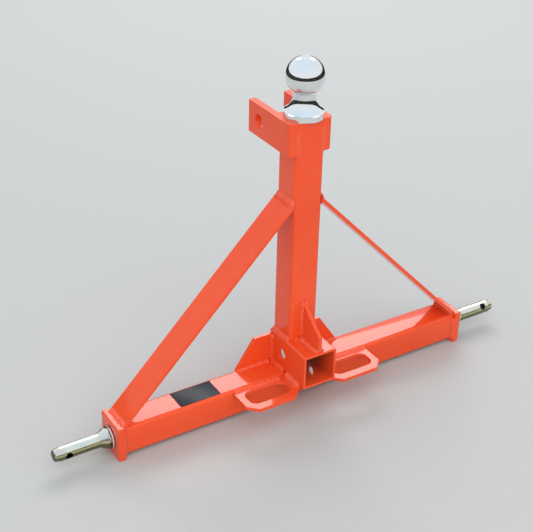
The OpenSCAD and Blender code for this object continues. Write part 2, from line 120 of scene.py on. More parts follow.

# On a link pin: heights above its axis of the straw line and of the painted dark reflection on its
# underside, and radii of its skin, which bound the painted shade in its linchpin hole
STRAW_LOW, STRAW_HIGH = 3.5 * MM, 6.5 * MM
REFLECTION_LOW, REFLECTION_HIGH = 0.0, 4.0 * MM
SKIN_IN, SKIN_OUT = 7.5 * MM, 9.3 * MM

# On a lock washer: how far its bright band stays from its inner and from its outer face; outside the band
# lies painted shadow
BAND_IN, BAND_OUT = 1.3 * MM, 0.9 * MM
LABEL_CORNER, LABEL_RIM, LABEL_SINK = 1.2 * MM, 0.15 * MM, 0.1 * MM

# Edges sharper than these are shaded sharp, on the frame and on what is laid on it. Those of the frame are
# also rounded.
SHARP_ANGLE, LAID_ANGLE = math.radians(30), math.radians(70)
# Points this near are merged, faces this flat become one, and what lies this near touches
MERGE_WITHIN, FLAT_WITHIN, TOUCH_WITHIN = 2e-6, math.radians(0.2), 0.1 * MM
# Beyond this an ear's points belong to its outer face
EAR_OUTER = MAST_SIDE + 10 * MM
# Segments of the ears' ground edge and of every other rounding
GROUND_SEGMENTS, SOFT_SEGMENTS = 8, 4

# First random seed of the beads of each side, and of those that lie on both sides alike
SEEDS = {"left": 3000, "right": 1000, "both": 5000}


# Shader maths

class Wire:
    """An output socket. +, - and * on it add Math nodes, also where a number comes first."""

    def __init__(self, finish, socket):
        self.finish = finish
        self.socket = socket

    def math(self, operation, first, second):
        return self.finish.node("ShaderNodeMath", {"operation": operation}, {0: first, 1: second})

    def __add__(self, other):
        return self.math("ADD", self, other)

    __radd__ = __add__

    def __sub__(self, other):
        return self.math("SUBTRACT", self, other)

    def __rsub__(self, other):
        return self.math("SUBTRACT", other, self)

    def __mul__(self, other):
        return self.math("MULTIPLY", self, other)

    __rmul__ = __mul__


class Finish:
    """Nodes of a material or of the world. node() adds any node, and surface() ends a material."""

    def __init__(self, name, kind="materials", place="Object"):
        self.made = getattr(bpy.data, kind).new(name)
        self.made.use_nodes = True
        self.tree = self.made.node_tree
        self.tree.nodes.clear()
        self.place = self.node("ShaderNodeTexCoord", out=place)

    def node(self, kind, settings=None, inputs=None, out=0):
        """Adds a node: its settings first, then the value or link of each socket."""
        made = self.tree.nodes.new(kind)
        for name, value in (settings or {}).items():
            if name == "stops":
                set_stops(made.color_ramp, value)
            else:
                setattr(made, name, value)
        for name, value in (inputs or {}).items():
            if isinstance(value, Wire):
                self.tree.links.new(value.socket, made.inputs[name])
            else:
                made.inputs[name].default_value = value
        return Wire(self, made.outputs[out])

    def axis(self, value, letter):
        """One coordinate of a vector: X, Y or Z."""
        return self.node("ShaderNodeSeparateXYZ", inputs={0: value}, out=letter)

    def noise(self, scale, detail=2.0, roughness=0.5, place=None):
        sockets = {"Vector": place or self.place, "Scale": scale, "Detail": detail, "Roughness": roughness}
        return self.node("ShaderNodeTexNoise", inputs=sockets)

    def stretched(self, scale):
        """The object's coordinates, scaled by its own number along each axis."""
        return self.node("ShaderNodeMapping", inputs={"Vector": self.place, "Scale": scale})

    def between(self, value, low, high):
        """0 below low, 1 above high, and smooth between them."""
        sockets = {"Value": value, "From Min": low, "From Max": high}
        return self.node("ShaderNodeMapRange", {"interpolation_type": "SMOOTHSTEP"}, sockets)

    def ramp(self, value, stops):
        return self.node("ShaderNodeValToRGB", {"stops": stops}, {"Fac": value})

    def blend(self, share, first, second, how="MIX"):
        """Colour first where share is 0, colour second where it is 1."""
        settings = {"data_type": "RGBA", "blend_type": how}
        # A colour Mix node has its factor in socket 0 and its two colours in sockets 6 and 7
        return self.node("ShaderNodeMix", settings, {0: share, 6: solid(first), 7: solid(second)}, out=2)

    def bump(self, height, strength, distance):
        sockets = {"Height": height, "Strength": strength, "Distance": distance}
        return self.node("ShaderNodeBump", inputs=sockets, out="Normal")

    def surface(self, **inputs):
        """Ends the material with a Principled shader; _ in a name stands for a space."""
        named = {name.replace("_", " "): solid(value) for name, value in inputs.items()}
        shader = self.node("ShaderNodeBsdfPrincipled", inputs=named, out="BSDF")
        return self.end(shader, "ShaderNodeOutputMaterial")

    def end(self, shader, kind):
        output = self.tree.nodes.new(kind)
        self.tree.links.new(shader.socket, output.inputs["Surface"])
        return self.made


def solid(value):
    """A colour of three numbers gets its fourth; anything else stays as it is."""
    if isinstance(value, Wire) or isinstance(value, (int, float)):
        return value
    return (*value[:3], 1.0)


def set_stops(ramp, stops):
    while len(ramp.elements) < len(stops):
        ramp.elements.new(1.0)
    for element, (position, colour) in zip(ramp.elements, stops):
        element.position = position
        element.color = (*colour, 1.0)


def paint_finish(name, colours, specular, coat):
    """Glossy sprayed enamel with orange peel, faint clouding, a film of dust and painted shade inside the
    receiver.
    """
    f = Finish(name)
    cloud = f.between(f.noise(7.0, 3.0), 0.3, 0.75)
    colour = f.blend(cloud, colours.paint, colours.paint_deep)
    dust = f.between(f.noise(38.0, 6.0, 0.65), 0.5, 0.85)
    colour = f.blend(dust * 0.1, colour, colours.dust)
    # Painted shade inside the receiver: the enamel is painted darker, more so away from the mouth
    centred = f.node("ShaderNodeMapping", inputs={"Vector": f.place, "Location": (0.0, 0.0, -REC_MIDDLE)})
    off = f.node("ShaderNodeVectorMath", {"operation": "ABSOLUTE"}, {0: centred})
    off = f.node("ShaderNodeMath", {"operation": "MAXIMUM"}, {0: f.axis(off, "X"), 1: f.axis(off, "Z")})
    depth = f.axis(f.place, "Y")
    inside = f.between(depth, SHADE_FROM, SHADE_TO) * (1.0 - f.between(off, WALL_FROM, WALL_TO))
    colour = f.blend(inside * SHADE_SHARE, colour, colours.painted_shade_inside)
    peel = f.noise(420.0, 2.0, 0.45)
    dip = f.noise(45.0, 1.0)
    return f.surface(
        Base_Color=colour, Roughness=0.3 + dust * 0.15, Specular_IOR_Level=specular, Coat_Weight=coat,
        Coat_Roughness=0.05, Normal=f.bump(peel * 0.5 + dip * 0.8, 0.3, 0.0002),
    )


def zinc_finish(colours):
    """Yellow passivated zinc: straw with green and pink bands that wander over the part."""
    f = Finish("pin_yellow_zinc")
    drift = f.noise(24.0, 3.0, 0.5, f.stretched((0.5, 1.0, 1.0)))
    colour = f.ramp(drift, (
        (0.30, (0.68, 0.72, 0.67)), (0.42, colours.zinc), (0.5, (0.80, 0.77, 0.60)),
        (0.58, (0.78, 0.68, 0.64)), (0.68, (0.66, 0.75, 0.63)),
    ))
    turned = f.noise(300.0, 3.0, 0.6, f.stretched((4.0, 0.3, 0.3)))
    worn = f.between(f.noise(60.0, 5.0, 0.6), 0.5, 0.75)
    # Painted shade: nearer the pin's axis than its skin, inside the linchpin hole, the zinc is painted near
    # black
    middle = (LOW["left_link_pin"] + HIGH["left_link_pin"]) / 2
    centred = f.node("ShaderNodeMapping", inputs={
        "Vector": f.place, "Location": (0.0, -middle[1], -middle[2]), "Scale": (0.0, 1.0, 1.0),
    })
    off_axis = f.node("ShaderNodeVectorMath", {"operation": "LENGTH"}, {0: centred}, out="Value")
    height = f.axis(centred, "Z")
    # A straw line runs along the pin, just above the painted dark reflection on its underside
    colour = f.blend(f.between(height, STRAW_LOW, STRAW_HIGH), (0.82, 0.76, 0.40), colour)
    # Painted reflection: below the axis the zinc is painted dark olive, as dark ground would mirror there
    colour = f.blend(f.between(height, REFLECTION_LOW, REFLECTION_HIGH), colours.zinc_painted_reflection, colour)
    # Painted shade in the linchpin hole
    skin = f.between(off_axis, SKIN_IN, SKIN_OUT)
    colour = f.blend(skin, (0.012, 0.012, 0.011), colour)
    return f.surface(
        Base_Color=colour, Metallic=1.0, Roughness=0.26 + worn * 0.16,
        Normal=f.bump(turned + worn * 0.5, 0.25, 0.0001),
    )


def steel_finish(name, colour, dull, rough, band=None):
    """Bare or bright-zinc steel with a fine grain and small dull patches. band is two distances from
    the middle of the hitch, and outside them it is painted black: painted shadow in the gaps beside the
    washer."""
    f = Finish(name)
    patch = f.between(f.noise(70.0, 4.0, 0.6), 0.4, 0.75)
    grain = f.noise(900.0, 2.0, 0.5)
    base = f.blend(patch, colour, dull)
    if band:
        along = f.node("ShaderNodeMath", {"operation": "ABSOLUTE"}, {0: f.axis(f.place, "X")})
        bright = f.between(along, band[0] - 0.2 * MM, band[0] + 0.2 * MM)
        bright = bright - f.between(along, band[1] - 0.2 * MM, band[1] + 0.2 * MM)
        # Painted shadow: black in the gaps beside the washer, outside its bright band
        base = f.blend(bright, (0.008, 0.008, 0.008), base)
    return f.surface(
        Base_Color=base, Metallic=0.6 if band else 1.0, Roughness=rough + patch * 0.15,
        Normal=f.bump(grain, 0.2, 0.00008),
    )


def chrome_finish(colours):
    """Polished chrome plate with the faintest wipe marks."""
    f = Finish("ball_chrome")
    wipe = f.between(f.noise(30.0, 5.0, 0.6), 0.45, 0.8)
    return f.surface(
        Base_Color=f.blend(wipe, colours.chrome, (0.80, 0.81, 0.83)), Metallic=1.0,
        Roughness=0.035 + wipe * 0.05, Normal=f.bump(f.noise(500.0), 0.03, 0.00005),
    )


def label_finish(colours):
    """A bare dark sheet label, faintly rubbed."""
    f = Finish("label_sheet")
    rub = f.between(f.noise(90.0, 6.0, 0.7), 0.5, 0.75)
    return f.surface(
        Base_Color=f.blend(rub * 0.5, colours.label, (0.04, 0.048, 0.06)), Roughness=0.3 + rub * 0.2,
        Specular_IOR_Level=0.12, Normal=f.bump(f.noise(240.0, 3.0), 0.12, 0.0001),
    )


# Meshes

def mesh_piece(name, points, faces, material, replaced=()):
    """Makes a smooth-shaded piece of arrays of points and faces, and rides it on the frame."""
    mesh = bpy.data.meshes.new(name)
    mesh.from_pydata(points.tolist(), [], faces)
    mesh.shade_smooth()
    mesh.set_sharp_from_angle(angle=LAID_ANGLE)
    mesh.materials.append(material)
    piece = bpy.data.objects.new(name, mesh)
    bpy.context.scene.collection.objects.link(piece)
    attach(piece, BODY)
    if replaced:
        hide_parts(*replaced)
    return piece


def ring_faces(rows, ring, outward=True):
    """Quads between rows of closed rings, with a cap on the first and on the last."""
    start = np.arange(rows - 1)[:, None] * ring
    here = np.arange(ring)[None, :]
    ahead = (here + 1) % ring
    quads = np.stack((start + here, start + ahead, start + ring + ahead, start + ring + here), axis=-1)
    quads = quads.reshape(-1, 4)
    caps = [np.arange(ring)[::-1], np.arange(ring) + (rows - 1) * ring]
    if not outward:
        quads = quads[:, ::-1]
        caps = [cap[::-1] for cap in caps]
    return quads.tolist() + [cap.tolist() for cap in caps]


def wander(distance, pitch, seed):
    """Smooth noise about 0 along a distance: four sines of unlike pitch and seeded phase, summed."""
    phases = np.random.default_rng(seed).uniform(0, 2 * math.pi, 4)
    pitches = pitch * np.array((1.0, 0.61, 0.37, 1.73))
    return sum(np.sin(2 * math.pi * distance / p + q) for p, q in zip(pitches, phases)) / 4


def bead(path, along_a, along_b, seed, sizes, root=None, crown=1.4, scale=1.0, lump=1.0, ripple=1.0):
    """One weld bead in a corner.

    path is the corner's line, and along_a and along_b reach from it to the bead's two toes. With
    s the distance along the path and u from 0 at the first toe to 1 at the second, a point lies at
    path(s) + g(s, u) (cos(90u)^(2/crown) along_a + sin(90u)^(2/crown) along_b). g swells and shrinks
    slowly along the bead, lump times as much as usual, falls to a round end, and carries scales, each
    the hump of a sine whose front bows forward in the middle of the bead and whose height, ripple times
    as much as usual, wanders. The root lies back in the metal."""
    path = np.atleast_2d(path).astype(float)
    along_a = np.broadcast_to(along_a, path.shape)
    along_b = np.broadcast_to(along_b, path.shape)
    root = -0.2 * (along_a + along_b) if root is None else np.broadcast_to(root, path.shape)
    run = np.concatenate(([0.0], np.cumsum(np.linalg.norm(np.diff(path, axis=0), axis=1))))
    rows = max(12, int(run[-1] / sizes.bead_step))
    s = np.linspace(0.0, run[-1], rows)

    def spread(values):
        return np.stack([np.interp(s, run, values[:, k]) for k in range(3)], axis=-1)

    path, along_a, along_b, root = spread(path), spread(along_a), spread(along_b), spread(root)
    leg = float(np.linalg.norm(along_a[0]) + np.linalg.norm(along_b[0])) / 2
    u = np.linspace(0.0, 1.0, 11)
    turn = u * math.pi / 2
    across_a, across_b = np.cos(turn) ** (2 / crown), np.sin(turn) ** (2 / crown)

    bow = 0.45 * leg * (1 - (2 * u - 1) ** 2)
    pitch = sizes.ripple_pitch * scale * (1 + 0.18 * wander(s, 23 * MM, seed))
    phase = (s[:, None] - bow[None, :]) / pitch[:, None]
    humps = np.abs(np.sin(math.pi * phase)) ** 0.7 - 0.6
    scales = humps * (1 + 0.9 * wander(s, 9 * MM, seed + 4))[:, None]
    swell = 1 + lump * (0.14 * wander(s, 14 * MM, seed + 1) + 0.10 * wander(s, 5 * MM, seed + 2))
    lean = 0.14 * lump * wander(s, 11 * MM, seed + 3)[:, None] * (2 * u - 1)[None, :]
    g = swell[:, None] + lean + (ripple * sizes.ripple_height * scale / leg) * scales
    end = np.minimum(s, run[-1] - s)
    reach = min(0.8 * leg, run[-1] / 3)
    taper = np.sqrt(np.clip(1 - (1 - np.clip(end / reach, 0.0, 1.0)) ** 2, 0.0225, 1.0))
    g = g * taper[:, None]

    top = path[:, None] + g[..., None] * (
        across_a[None, :, None] * along_a[:, None] + across_b[None, :, None] * along_b[:, None]
    )
    sink = 0.08 * taper[:, None]
    toe_a = top[:, 0] - sink * along_b
    toe_b = top[:, -1] - sink * along_a
    back = path + root * taper[:, None]
    points = np.concatenate((toe_a[:, None], top, toe_b[:, None], back[:, None]), axis=1)
    tangent = path[1] - path[0]
    outward = float(np.dot(np.cross(along_a[0], along_b[0]), tangent)) > 0
    return points.reshape(-1, 3), ring_faces(rows, points.shape[1], outward)


def lay(name, replaced, beads, material, mirror):
    """Joins beads into one piece. mirror is 1 or -1 for one side, or (1, -1) for both sides."""
    points, faces, count = [], [], 0
    for sign in np.atleast_1d(mirror):
        for bead_points, bead_faces in beads:
            points.append(bead_points * (sign, 1.0, 1.0))
            step = 1 if sign > 0 else -1
            faces += [[corner + count for corner in face[::step]] for face in bead_faces]
            count += len(bead_points)
    return mesh_piece(name, np.concatenate(points), faces, material, (replaced,))


def flush_fill(side, front, corner, low, high):
    """A weld ground flush over a tube's round corner: a square corner, carried straight up."""
    x = side - corner * np.array((0.0, 1.0, 0.7))
    y = front + corner * np.array((0.0, 0.0, 0.7))
    x, y = np.append(x, side), np.append(y, front + corner)
    ring = np.stack([np.column_stack((x, y, np.full(4, z))) for z in (low, high)])
    return ring.reshape(-1, 3), ring_faces(2, 4, outward=False)


def end_path():
    """Down the crossbar's front, round below it and up its back, with the outward direction."""
    turn = np.radians(np.linspace(0.0, 90.0, 9))
    low, high = BAR_LOW + BAR_CORNER, BAR_TOP - BAR_CORNER
    front, back = BAR_FRONT + BAR_CORNER, BAR_BACK - BAR_CORNER
    out = np.concatenate((
        [(-1.0, 0.0)], np.stack((-np.cos(turn), -np.sin(turn)), -1),
        np.stack((np.sin(turn), -np.cos(turn)), -1), [(1.0, 0.0)],
    ))
    centre = np.concatenate(([(front, high)], [(front, low)] * 9, [(back, low)] * 9, [(back, high)]))
    place = centre + BAR_CORNER * out
    flat = np.full(len(out), BAR_END)
    return np.column_stack((flat, place)), np.column_stack((0 * flat, out))


def x_line(start, end, y, z):
    return np.array(((start, y, z), (end, y, z)))


def y_line(start, end, x, z):
    return np.array(((x, start, z), (x, end, z)))


def z_line(start, end, x, y):
    return np.array(((x, y, start), (x, y, end)))


def right_beads(sizes, seed):
    """The beads of the right side, by the CAD node that each list of them stands for."""
    leg, heavy = sizes.bead_leg, sizes.heavy_leg
    x, y, z = np.eye(3)
    run = Vector((BAR_END - MAST_SIDE, 0.0, PLATE_TOP - BRACE_TOP))
    slope = np.array(run.normalized())
    drop = BRACE_THICK / slope[0]
    toe_x = MAST_SIDE + (BRACE_TOP - drop - BAR_TOP) * slope[0] / -slope[2]
    front, back = MAST_FRONT + 1 * MM, MAST_BACK - 1 * MM
    path, out = end_path()
    low_leg = leg * (1 - 0.25 * np.clip(-out[:, 2:], 0.0, 1.0))
    ledge = REC_SIDE - MAST_SIDE
    groove = -0.5 * REC_CORNER * x
    chain_leg = min(leg, 5 * MM)
    # The weld forks where it ends above the front gusset
    arm = np.array(((0.0, MAST_FRONT, NOSE_TOP - 4 * MM), (6.5 * MM, MAST_FRONT, NOSE_TOP + 2.5 * MM)))
    arm_side = np.array((-0.756, 0.0, 0.655))
    return {
        "end_welds": [bead(path, low_leg * out, -low_leg * x, seed, sizes)],
        "brace_welds": [
            bead(y_line(front - 1.5 * MM, back, MAST_SIDE, BRACE_TOP - 1 * MM), 1.15 * leg * z,
                 sizes.brace_leg * slope, seed + 10, sizes, crown=2.5, scale=2.4, lump=1.9, ripple=0.8),
            bead(y_line(front, back, MAST_SIDE, BRACE_TOP - drop), -leg * z, leg * slope, seed + 20, sizes),
            bead(y_line(front, back, toe_x, BAR_TOP), -leg * x, -leg * slope, seed + 30, sizes, lump=1.5),
            bead(y_line(front - 2 * MM, back, BAR_END, PLATE_TOP), 0.9 * leg * x, -1.3 * leg * slope,
                 seed + 40, sizes, crown=1.7, lump=1.3),
        ],
        "gusset_welds": [
            bead(x_line(REC_SIDE + leg, GUSSET_FOOT - 1 * MM, GUSSET_FRONT, BAR_TOP), -leg * y, leg * z,
                 seed + 50, sizes),
            bead(z_line(BAR_TOP + leg, GUSSET_TOP - 1 * MM, REC_SIDE, GUSSET_FRONT), leg * x, -leg * y,
                 seed + 60, sizes),
            bead(x_line(REC_SIDE, GUSSET_FOOT, BAR_BACK - BAR_CORNER, BAR_TOP - BAR_CORNER),
                 BAR_CORNER * z, BAR_CORNER * y, seed + 70, sizes, crown=3.0, scale=0.6),
        ],
        "chain_plate_welds": [
            bead(x_line(REC_SIDE + heavy, CHAIN_OUTER - 1 * MM, BAR_FRONT, CHAIN_TOP), -chain_leg * y,
                 3.4 * MM * z + 1.5 * MM * y, seed + 80, sizes, root=2.5 * MM * y - 0.5 * MM * z),
            bead(x_line(REC_SIDE + heavy, CHAIN_OUTER - 1 * MM, BAR_FRONT, CHAIN_LOW), -chain_leg * y,
                 -chain_leg * z, seed + 90, sizes),
            bead(y_line(CHAIN_FRONT + 16 * MM, BAR_FRONT, REC_SIDE, CHAIN_TOP), heavy * x,
                 1.25 * heavy * z, seed + 100, sizes, root=groove - 0.5 * MM * z, scale=1.8, lump=1.3),
        ],
        "ear_welds": [
            bead(y_line(MAST_FRONT + MAST_CORNER, MAST_BACK - MAST_CORNER, MAST_SIDE, EAR_LOW),
                 leg * x, -leg * z, seed + 110, sizes),
            bead(z_line(EAR_LOW + 1 * MM, CAP_LOW - 1 * MM, MAST_SIDE, MAST_BACK), leg * y,
                 -1.5 * leg * x, seed + 120, sizes, root=-0.6 * MAST_CORNER * (x + y)),
            flush_fill(MAST_SIDE, MAST_FRONT, MAST_CORNER, EAR_LOW, CAP_LOW),
        ],
        "mast_base_welds": [
            bead(y_line(front, back, MAST_SIDE, REC_TOP), (ledge + 0.5 * MM) * z,
                 ledge * x - 2 * MM * z, seed + 130, sizes, crown=1.8),
            bead(x_line(NOSE_HALF + leg, MAST_SIDE - MAST_CORNER, MAST_FRONT, REC_TOP), -1.6 * leg * y,
                 1.2 * leg * z, seed + 140, sizes, crown=1.8, scale=2.2, lump=1.8, ripple=1.2),
        ],
        "receiver_seat_welds": [
            bead(y_line(BAR_FRONT + BAR_CORNER, GUSSET_FRONT + 3 * MM, REC_SIDE, BAR_TOP), leg * x,
                 1.3 * leg * z, seed + 150, sizes, root=groove),
            bead(x_line(0.0, REC_SIDE - REC_CORNER, BAR_FRONT, BAR_TOP), -leg * y, -2.1 * leg * z,
                 seed + 160, sizes, root=0.5 * BAR_CORNER * (y - z)),
        ],
        "front_gusset_welds": [
            bead(y_line(NOSE_FRONT + 0.5 * MM, MAST_FRONT, NOSE_HALF, REC_TOP), 1.5 * leg * x, 1.1 * leg * z,
                 seed + 170, sizes, crown=1.8, scale=2.2, lump=1.8, ripple=1.2),
            bead(z_line(REC_TOP, NOSE_TOP - 1 * MM, NOSE_HALF, MAST_FRONT), leg * x, -leg * y,
                 seed + 180, sizes),
            *[bead(arm, 2.6 * MM * side, -3.4 * MM * y, seed + 190, sizes, root=2 * MM * y, crown=2.2)
              for side in (arm_side, -arm_side)],
        ],
    }


def on_ground_edge(place):
    """Whether a point of an ear lies on the outer edge of its front."""
    return abs(place.x) > EAR_OUTER and place.y < MAST_FRONT + TOUCH_WITHIN


def merged_copy(name, sizes):
    """A copy of a CAD node's mesh with its points merged and its flat faces whole.

    An ear's outer front edge is ground round."""
    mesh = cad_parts[name].data.copy()
    edit = bmesh.new()
    edit.from_mesh(mesh)
    bmesh.ops.remove_doubles(edit, verts=edit.verts, dist=MERGE_WITHIN)
    bmesh.ops.dissolve_limit(edit, angle_limit=FLAT_WITHIN, verts=edit.verts, edges=edit.edges)
    if name.endswith("ear"):
        # Cut at the mast's back, so that what lies along the mast can stay unrounded
        everything = list(edit.verts) + list(edit.edges) + list(edit.faces)
        bmesh.ops.bisect_plane(
            edit, geom=everything, plane_co=(0.0, MAST_BACK, 0.0), plane_no=(0.0, 1.0, 0.0),
        )
        ground = [edge for edge in edit.edges if all(on_ground_edge(end.co) for end in edge.verts)]
        bmesh.ops.bevel(
            edit, geom=ground, offset=sizes.ground_edge, segments=GROUND_SEGMENTS, profile=0.5,
            affect="EDGES", clamp_overlap=False,
        )
    bmesh.ops.recalc_face_normals(edit, faces=edit.faces)
    plain = bpy.data.meshes.new(f"{name}_soft")
    edit.to_mesh(plain)
    edit.free()
    bpy.data.meshes.remove(mesh)
    if "custom_normal" in plain.attributes:
        plain.attributes.remove(plain.attributes["custom_normal"])
    return plain


def rounding(name, middle, sizes):
    """How much of the largest rounding an edge gets, by the node and the edge's middle."""
    for other in FLUSH.get(name, ()):
        if np.all(middle > LOW[other] - TOUCH_WITHIN) and np.all(middle < HIGH[other] + TOUCH_WITHIN):
            return 0.0
    width = sizes.soft_edge
    if name.endswith("end_plate") and abs(middle[0]) > BAR_END + MM:
        width = sizes.plate_edge
    return width / sizes.plate_edge


def weigh_edges(mesh, name, sizes):
    """Gives every sharp edge its share of the largest rounding."""
    edit = bmesh.new()
    edit.from_mesh(mesh)
    share = edit.edges.layers.float.new("bevel_weight_edge")
    for edge in edit.edges:
        if edge.is_manifold and edge.calc_face_angle() > SHARP_ANGLE:
            middle = np.array((edge.verts[0].co + edge.verts[1].co) / 2)
            edge[share] = rounding(name, middle, sizes)
    edit.to_mesh(mesh)
    edit.free()


def round_plate(low, high, corner, rim, count=8):
    """A thin plate with round corners: its outline, stacked in rings that draw in over the top rim."""
    turn = np.radians(np.arange(4)[:, None] * 90 + np.linspace(0, 90, count)[None, :]).ravel()
    sign_x = np.repeat((1, -1, -1, 1), count)
    sign_y = np.repeat((1, 1, -1, -1), count)
    middle, half = (low + high) / 2, (high - low) / 2
    rings = []
    steps = ((0.0, low[2]), (0.0, high[2] - rim), (0.35 * rim, high[2] - 0.3 * rim), (rim, high[2]))
    for inset, height in steps:
        r = corner - inset
        rings.append(np.column_stack((
            middle[0] + sign_x * (half[0] - corner) + r * np.cos(turn),
            middle[1] + sign_y * (half[1] - corner) + r * np.sin(turn), np.full(len(turn), height),
        )))
    return np.concatenate(rings), ring_faces(len(rings), len(turn))


# Properties

class HitchSizes(bpy.types.PropertyGroup):
    soft_edge: FloatProperty(
        name="Soft edge", description="Width of the rounding that paint gives a cut edge",
        default=1.0 * MM, min=0.0, unit="LENGTH", precision=4,
    )
    plate_edge: FloatProperty(
        name="End plate edge", description="Width of the rounding of the end plates", default=2.2 * MM,
        unit="LENGTH", precision=4,
    )
    ground_edge: FloatProperty(
        name="Ground edge", description="Width of the rounding ground on the ears' front", default=7.0 * MM,
        unit="LENGTH", precision=4,
    )
    bead_leg: FloatProperty(
        name="Bead leg", description="Leg of an ordinary weld bead", default=4.5 * MM, unit="LENGTH",
        precision=4,
    )
    heavy_leg: FloatProperty(
        name="Heavy leg", description="Leg of the beads beside the receiver", default=8 * MM, unit="LENGTH",
        precision=4,
    )
    brace_leg: FloatProperty(
        name="Brace leg", description="Reach down a brace of the bead at the mast", default=9 * MM,
        unit="LENGTH", precision=4,
    )
    bead_step: FloatProperty(
        name="Bead step", description="Distance between rows of points along a bead", default=0.45 * MM,
        unit="LENGTH", precision=5,
    )
    ripple_pitch: FloatProperty(
        name="Ripple pitch", description="Length of one ripple of a bead", default=2.4 * MM, unit="LENGTH",
        precision=4,
    )
    ripple_height: FloatProperty(
        name="Ripple height", description="Height of a ripple", default=0.2 * MM, unit="LENGTH", precision=5,
    )
    label_size: FloatVectorProperty(
        name="Label", description="Length, width and thickness of the bare label",
        default=(71 * MM, 39 * MM, 0.3 * MM), size=3, unit="LENGTH", precision=4,
    )
    label_middle: FloatVectorProperty(
        name="Label middle", description="Middle of the label in X and Y",
        default=(-182.5 * MM, -5 * MM), size=2, unit="LENGTH", precision=4,
    )
    floor_size: FloatProperty(
        name="Floor", description="Half the width of the floor", default=30.0, unit="LENGTH",
    )


class HitchColours(bpy.types.PropertyGroup):
    paint: FloatVectorProperty(
        name="Paint", description="Enamel of the frame", subtype="COLOR", default=(0.80, 0.080, 0.019),
    )
    paint_deep: FloatVectorProperty(
        name="Deep paint", description="Enamel where it lies thicker", subtype="COLOR",
        default=(0.75, 0.068, 0.015),
    )
    # Painted shade: the dark colour laid deep inside the receiver
    painted_shade_inside: FloatVectorProperty(
        name="Paint inside", description="Thin dark enamel deep in the receiver", subtype="COLOR",
        default=(0.20, 0.022, 0.008),
    )
    dust: FloatVectorProperty(
        name="Dust", description="Film of dust on the enamel", subtype="COLOR", default=(0.80, 0.30, 0.20),
    )
    zinc: FloatVectorProperty(
        name="Zinc", description="Yellow zinc of the link pins", subtype="COLOR", default=(0.86, 0.86, 0.74),
    )
    # Painted reflection: the dark olive painted on the pins' underside
    zinc_painted_reflection: FloatVectorProperty(
        name="Zinc below", description="Duller olive zinc on the underside of the pins", subtype="COLOR",
        default=(0.20, 0.20, 0.11),
    )
    washer: FloatVectorProperty(
        name="Washer", description="Bright zinc of the lock washers", subtype="COLOR",
        default=(0.88, 0.88, 0.88),
    )
    steel: FloatVectorProperty(
        name="Steel", description="Plain steel of the nuts", subtype="COLOR", default=(0.42, 0.42, 0.43),
    )
    chrome: FloatVectorProperty(
        name="Chrome", description="Chrome of the hitch ball", subtype="COLOR", default=(0.88, 0.89, 0.90),
    )
    label: FloatVectorProperty(
        name="Label", description="The bare label", subtype="COLOR", default=(0.022, 0.026, 0.034),
    )
    floor: FloatVectorProperty(
        name="Floor", description="Pale studio floor", subtype="COLOR", default=(0.46, 0.448, 0.43),
    )


# Operators

class HITCH_OT_paint_frame(bpy.types.Operator):
    """Stand a soft-edged, painted copy in for each painted tube and plate"""

    bl_idname = "hitch.paint_frame"
    bl_label = "Paint tubes and plates"

    def execute(self, context):
        sizes = context.scene.hitch_sizes
        enamel = paint_finish("frame_enamel", context.scene.hitch_colours, specular=0.12, coat=0.55)
        for name in PAINTED:
            mesh = merged_copy(name, sizes)
            weigh_edges(mesh, name, sizes)
            mesh.shade_smooth()
            mesh.set_sharp_from_angle(angle=SHARP_ANGLE)
            mesh.materials.clear()
            mesh.materials.append(enamel)
            piece = bpy.data.objects.new(f"{name}_painted", mesh)
            context.scene.collection.objects.link(piece)
            edge = piece.modifiers.new("soft_edge", "BEVEL")
            edge.width = sizes.plate_edge
            edge.segments = SOFT_SEGMENTS
            edge.use_clamp_overlap = False
            edge.limit_method = "WEIGHT"
            edge.harden_normals = True
            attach(piece, BODY)
            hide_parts(name)
        return {"FINISHED"}


class HITCH_OT_lay_beads(bpy.types.Operator):
    """Lay a rippled bead along every weld"""

    bl_idname = "hitch.lay_beads"
    bl_label = "Lay weld beads"

    def execute(self, context):
        sizes = context.scene.hitch_sizes
        # Paint gathers on a bead, and shines more there
        enamel = paint_finish("bead_enamel", context.scene.hitch_colours, specular=0.3, coat=1.0)
        for side, sign in SIDES.items():
            for group, beads in right_beads(sizes, SEEDS[side]).items():
                if f"{side}_{group}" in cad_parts:
                    lay(f"{side}_{group}_laid", f"{side}_{group}", beads, enamel, sign)
        for group, beads in right_beads(sizes, SEEDS["both"]).items():
            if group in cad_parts:
                lay(f"{group}_laid", group, beads, enamel, (1.0, -1.0))
        return {"FINISHED"}


class HITCH_OT_plate_fittings(bpy.types.Operator):
    """Give the ball, the link pins, the lock washers and the nuts their plating"""

    bl_idname = "hitch.plate_fittings"
    bl_label = "Plate ball, pins and nuts"

    def execute(self, context):
        colours = context.scene.hitch_colours
        finishes = {
            "hitch_ball": chrome_finish(colours),
            "link_pin": zinc_finish(colours),
            "lock_washer": steel_finish(
                "washer_zinc", colours.washer, dull=(0.70, 0.70, 0.70), rough=0.22,
                band=(LOW["right_lock_washer"][0] + BAND_IN, HIGH["right_lock_washer"][0] - BAND_OUT),
            ),
            "nut": steel_finish("nut_steel", colours.steel, dull=(0.28, 0.27, 0.26), rough=0.38),
        }
        for name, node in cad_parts.items():
            for ending, finish in finishes.items():
                if name.endswith(ending):
                    node.data.materials.clear()
                    node.data.materials.append(finish)
        return {"FINISHED"}


class HITCH_OT_stick_label(bpy.types.Operator):
    """Stick the bare label on the crossbar"""

    bl_idname = "hitch.stick_label"
    bl_label = "Stick bare label"

    def execute(self, context):
        sizes = context.scene.hitch_sizes
        half = np.array(sizes.label_size) / 2
        x, y = sizes.label_middle
        low = np.array((x - half[0], y - half[1], BAR_TOP - LABEL_SINK))
        high = np.array((x + half[0], y + half[1], BAR_TOP + sizes.label_size[2]))
        points, faces = round_plate(low, high, LABEL_CORNER, LABEL_RIM)
        mesh_piece("crossbar_label", points, faces, label_finish(context.scene.hitch_colours))
        return {"FINISHED"}


